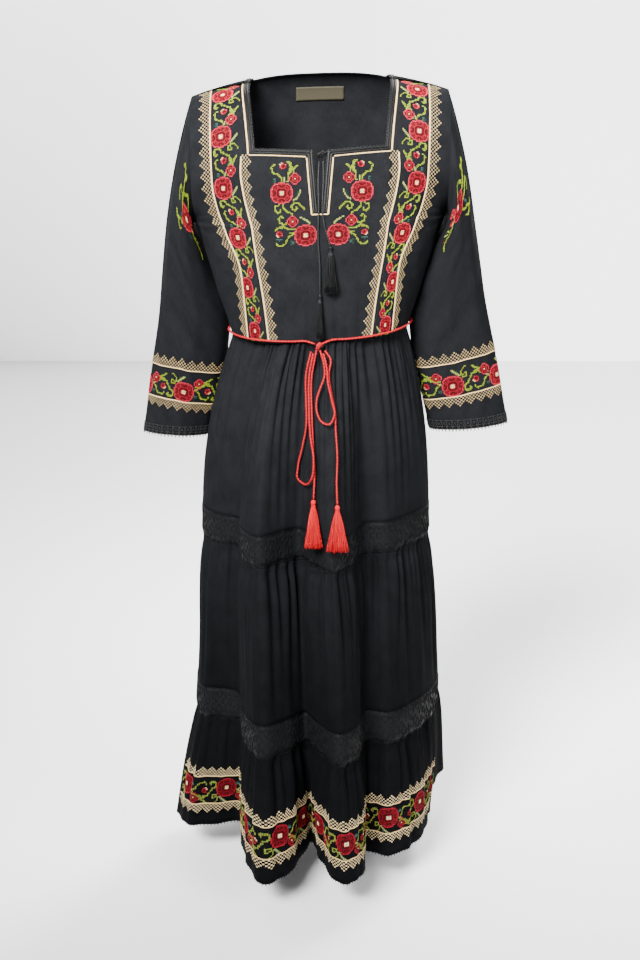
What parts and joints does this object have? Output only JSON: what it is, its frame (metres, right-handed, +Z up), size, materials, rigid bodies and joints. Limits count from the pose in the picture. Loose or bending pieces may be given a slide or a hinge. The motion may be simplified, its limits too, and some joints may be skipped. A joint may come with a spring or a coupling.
{
  "type": "embroidered maxi dress",
  "caption": "Long black folk dress held as worn: square laced neck, embroidered bands, corded waist and tiered lace skirt.",
  "frame": {"origin": "midway between the shoulder seams, where the wearer's shoulders hold the dress up", "axes": "+Z up, the front faces -Y, +X is the wearer's left"},
  "size_m": [0.6048, 0.4851, 1.2558],
  "materials": {
    "cotton": "matte woven cotton",
    "lace": "matte crochet lace",
    "crochet_edging": "matte crochet",
    "belt_yarn": "twisted yarn",
    "tie_yarn": "twisted yarn",
    "label": "satin woven tape"
  },
  "bodies": {
    "root": {"bodice_front_centre": "cotton", "bodice_band_left": "cotton", "bodice_band_right": "cotton", "bodice_side_left": "cotton", "bodice_side_right": "cotton", "bodice_back": "cotton", "sleeve_left": "cotton", "sleeve_right": "cotton", "skirt_upper_front": "cotton", "skirt_upper_back": "cotton", "skirt_middle_front": "cotton", "skirt_middle_back": "cotton", "skirt_lower_front": "cotton", "skirt_lower_back": "cotton", "lace_upper_front": "lace", "lace_upper_back": "lace", "lace_lower_front": "lace", "lace_lower_back": "lace", "neck_edging_left": "crochet_edging", "neck_edging_right": "crochet_edging", "cuff_edging_left": "crochet_edging", "cuff_edging_right": "crochet_edging", "hem_edging": "crochet_edging", "belt_cord": "belt_yarn", "belt_knot": "belt_yarn", "belt_loop_left": "belt_yarn", "belt_loop_right": "belt_yarn", "belt_end_left": "belt_yarn", "belt_end_right": "belt_yarn", "belt_tassel_left": "belt_yarn", "belt_tassel_right": "belt_yarn", "neck_tie_knot": "tie_yarn", "neck_tie_end_left": "tie_yarn", "neck_tie_end_right": "tie_yarn", "neck_tassel_left": "tie_yarn", "neck_tassel_right": "tie_yarn", "neck_label": "label"}
  },
  "joints": []
}
